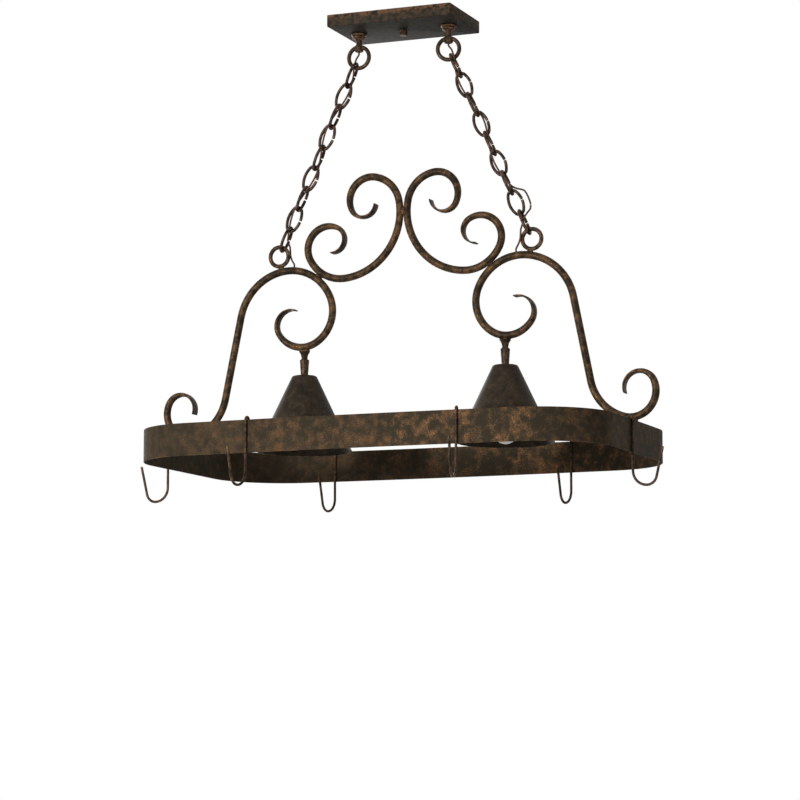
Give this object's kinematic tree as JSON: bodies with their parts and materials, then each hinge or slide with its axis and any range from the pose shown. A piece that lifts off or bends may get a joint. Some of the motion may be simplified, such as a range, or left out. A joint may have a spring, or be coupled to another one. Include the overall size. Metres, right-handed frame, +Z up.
{
  "type": "hanging pot rack",
  "caption": "Oblong steel pot rack on chains below a ceiling canopy, with scroll work, cone downlights and sliding hooks.",
  "frame": {"origin": "middle of the ceiling crossbar's top face, where the rack is screwed to the ceiling box", "axes": "+X along the band's long side, -Y towards the front, +Z up"},
  "size_m": [0.8756, 0.5325, 0.7721],
  "materials": {
    "rusty_bronze": "dark bronze with mottled rust and copper speckles, matt",
    "dark_iron": "dark bronze, slightly worn to copper at the edges",
    "chain_iron": "near black with copper edges",
    "hook_wire": "rubbed brown wire",
    "plain_steel": "zinc plated",
    "brown_cord": "brown cord sheath",
    "socket_white": "glazed porcelain",
    "bulb_glass": "frosted white glass"
  },
  "bodies": {
    "canopy": {"canopy": "rusty_bronze", "ceiling_crossbar": "plain_steel", "canopy_stud": "plain_steel", "canopy_loop_left": "dark_iron", "canopy_loop_right": "dark_iron", "loop_lock_nut_left": "plain_steel", "loop_lock_nut_right": "plain_steel"},
    "cap_nut": {"canopy_cap_nut": "dark_iron"},
    "collar_left": {"screw_collar_left": "dark_iron"},
    "collar_right": {"screw_collar_right": "dark_iron"},
    "top_links": {"left_link_1": "chain_iron", "right_link_1": "chain_iron", "supply_cord_left_top": "brown_cord", "supply_cord_right_top": "brown_cord"},
    "left_chain": {"left_link_2": "chain_iron", "left_link_3": "chain_iron", "left_link_4": "chain_iron", "left_link_5": "chain_iron", "left_link_6": "chain_iron", "left_link_7": "chain_iron", "left_link_8": "chain_iron", "supply_cord_left_middle": "brown_cord"},
    "right_chain": {"right_link_2": "chain_iron", "right_link_3": "chain_iron", "right_link_4": "chain_iron", "right_link_5": "chain_iron", "right_link_6": "chain_iron", "right_link_7": "chain_iron", "right_link_8": "chain_iron", "supply_cord_right_middle": "brown_cord"},
    "bottom_links": {"left_link_9": "chain_iron", "right_link_9": "chain_iron", "supply_cord_left_bottom": "brown_cord", "supply_cord_right_bottom": "brown_cord"},
    "rack": {"band": "rusty_bronze", "scroll_ring_left": "dark_iron", "outer_scroll_left": "rusty_bronze", "c_scroll_left": "rusty_bronze", "neck_fitting_left": "dark_iron", "neck_sleeve_left": "dark_iron", "lamp_nipple_left": "plain_steel", "shade_left": "rusty_bronze", "lamp_socket_left": "socket_white", "scroll_ring_right": "dark_iron", "outer_scroll_right": "rusty_bronze", "c_scroll_right": "rusty_bronze", "neck_fitting_right": "dark_iron", "neck_sleeve_right": "dark_iron", "lamp_nipple_right": "plain_steel", "shade_right": "rusty_bronze", "lamp_socket_right": "socket_white"},
    "bulb_left": {"bulb_left": "bulb_glass"},
    "bulb_right": {"bulb_right": "bulb_glass"},
    "hook_1": {"hook_1": "hook_wire"},
    "hook_2": {"hook_2": "hook_wire"},
    "hook_3": {"hook_3": "hook_wire"},
    "hook_4": {"hook_4": "hook_wire"},
    "hook_5": {"hook_5": "hook_wire"},
    "hook_6": {"hook_6": "hook_wire"}
  },
  "joints": [
    {"name": "rack_swing", "type": "hinge", "parent": "canopy", "child": "top_links", "pos_m": [0, 0, -0.07322], "axis": [1, 0, 0], "range_deg": [-15, 15], "deforming": ["supply_cord_left_top", "supply_cord_right_top"]},
    {"name": "rack_sway", "type": "hinge", "parent": "top_links", "child": "bottom_links", "pos_m": [0, 0, 0.11925], "axis": [0, 1, 0], "range_deg": [-3, 3]},
    {"name": "left_chain_sway", "type": "hinge", "parent": "top_links", "child": "left_chain", "pos_m": [-0.09828, 0, -0.10452], "axis": [0, 1, 0], "range_deg": [-6.5, 6.5]},
    {"name": "right_chain_sway", "type": "hinge", "parent": "top_links", "child": "right_chain", "pos_m": [0.09828, 0, -0.10452], "axis": [0, 1, 0], "range_deg": [-6.5, 6.5]},
    {"name": "rack_tilt", "type": "hinge", "parent": "bottom_links", "child": "rack", "pos_m": [0, 0, -0.35973], "axis": [1, 0, 0], "range_deg": [-10, 10], "deforming": ["supply_cord_left_bottom", "supply_cord_right_bottom"]},
    {"name": "cap_nut_turn", "type": "hinge", "parent": "canopy", "child": "cap_nut", "pos_m": [0, 0, -0.024], "axis": [0, 0, 1], "continuous": true},
    {"name": "collar_left_turn", "type": "hinge", "parent": "canopy", "child": "collar_left", "pos_m": [-0.0775, 0, -0.026], "axis": [0, 0, 1], "continuous": true},
    {"name": "collar_right_turn", "type": "hinge", "parent": "canopy", "child": "collar_right", "pos_m": [0.0775, 0, -0.026], "axis": [0, 0, 1], "continuous": true},
    {"name": "bulb_left_turn", "type": "hinge", "parent": "rack", "child": "bulb_left", "pos_m": [-0.17159, 0, -0.64799], "axis": [0, 0, 1], "continuous": true},
    {"name": "bulb_right_turn", "type": "hinge", "parent": "rack", "child": "bulb_right", "pos_m": [0.17159, 0, -0.64799], "axis": [0, 0, 1], "continuous": true},
    {"name": "hook_1_slide", "type": "slide", "parent": "rack", "child": "hook_1", "axis": [0, 1, 0], "range_m": [-0.04, 0.035]},
    {"name": "hook_2_slide", "type": "slide", "parent": "rack", "child": "hook_2", "axis": [0.9996, -0.0293, 0], "range_m": [-0.03, 0.03]},
    {"name": "hook_3_slide", "type": "slide", "parent": "rack", "child": "hook_3", "axis": [0.9992, 0.0396, 0], "range_m": [-0.03, 0.03]},
    {"name": "hook_4_slide", "type": "slide", "parent": "rack", "child": "hook_4", "axis": [0.9995, 0.0329, 0], "range_m": [-0.03, 0.03]},
    {"name": "hook_5_slide", "type": "slide", "parent": "rack", "child": "hook_5", "axis": [0.9993, -0.0364, 0], "range_m": [-0.03, 0.03]},
    {"name": "hook_6_slide", "type": "slide", "parent": "rack", "child": "hook_6", "axis": [0, 1, 0], "range_m": [-0.06, 0.015]}
  ],
  "couplings": [
    {"joint": "left_chain_sway", "follows": "rack_sway", "ratio": 2.0018},
    {"joint": "right_chain_sway", "follows": "rack_sway", "ratio": 2.0018}
  ]
}
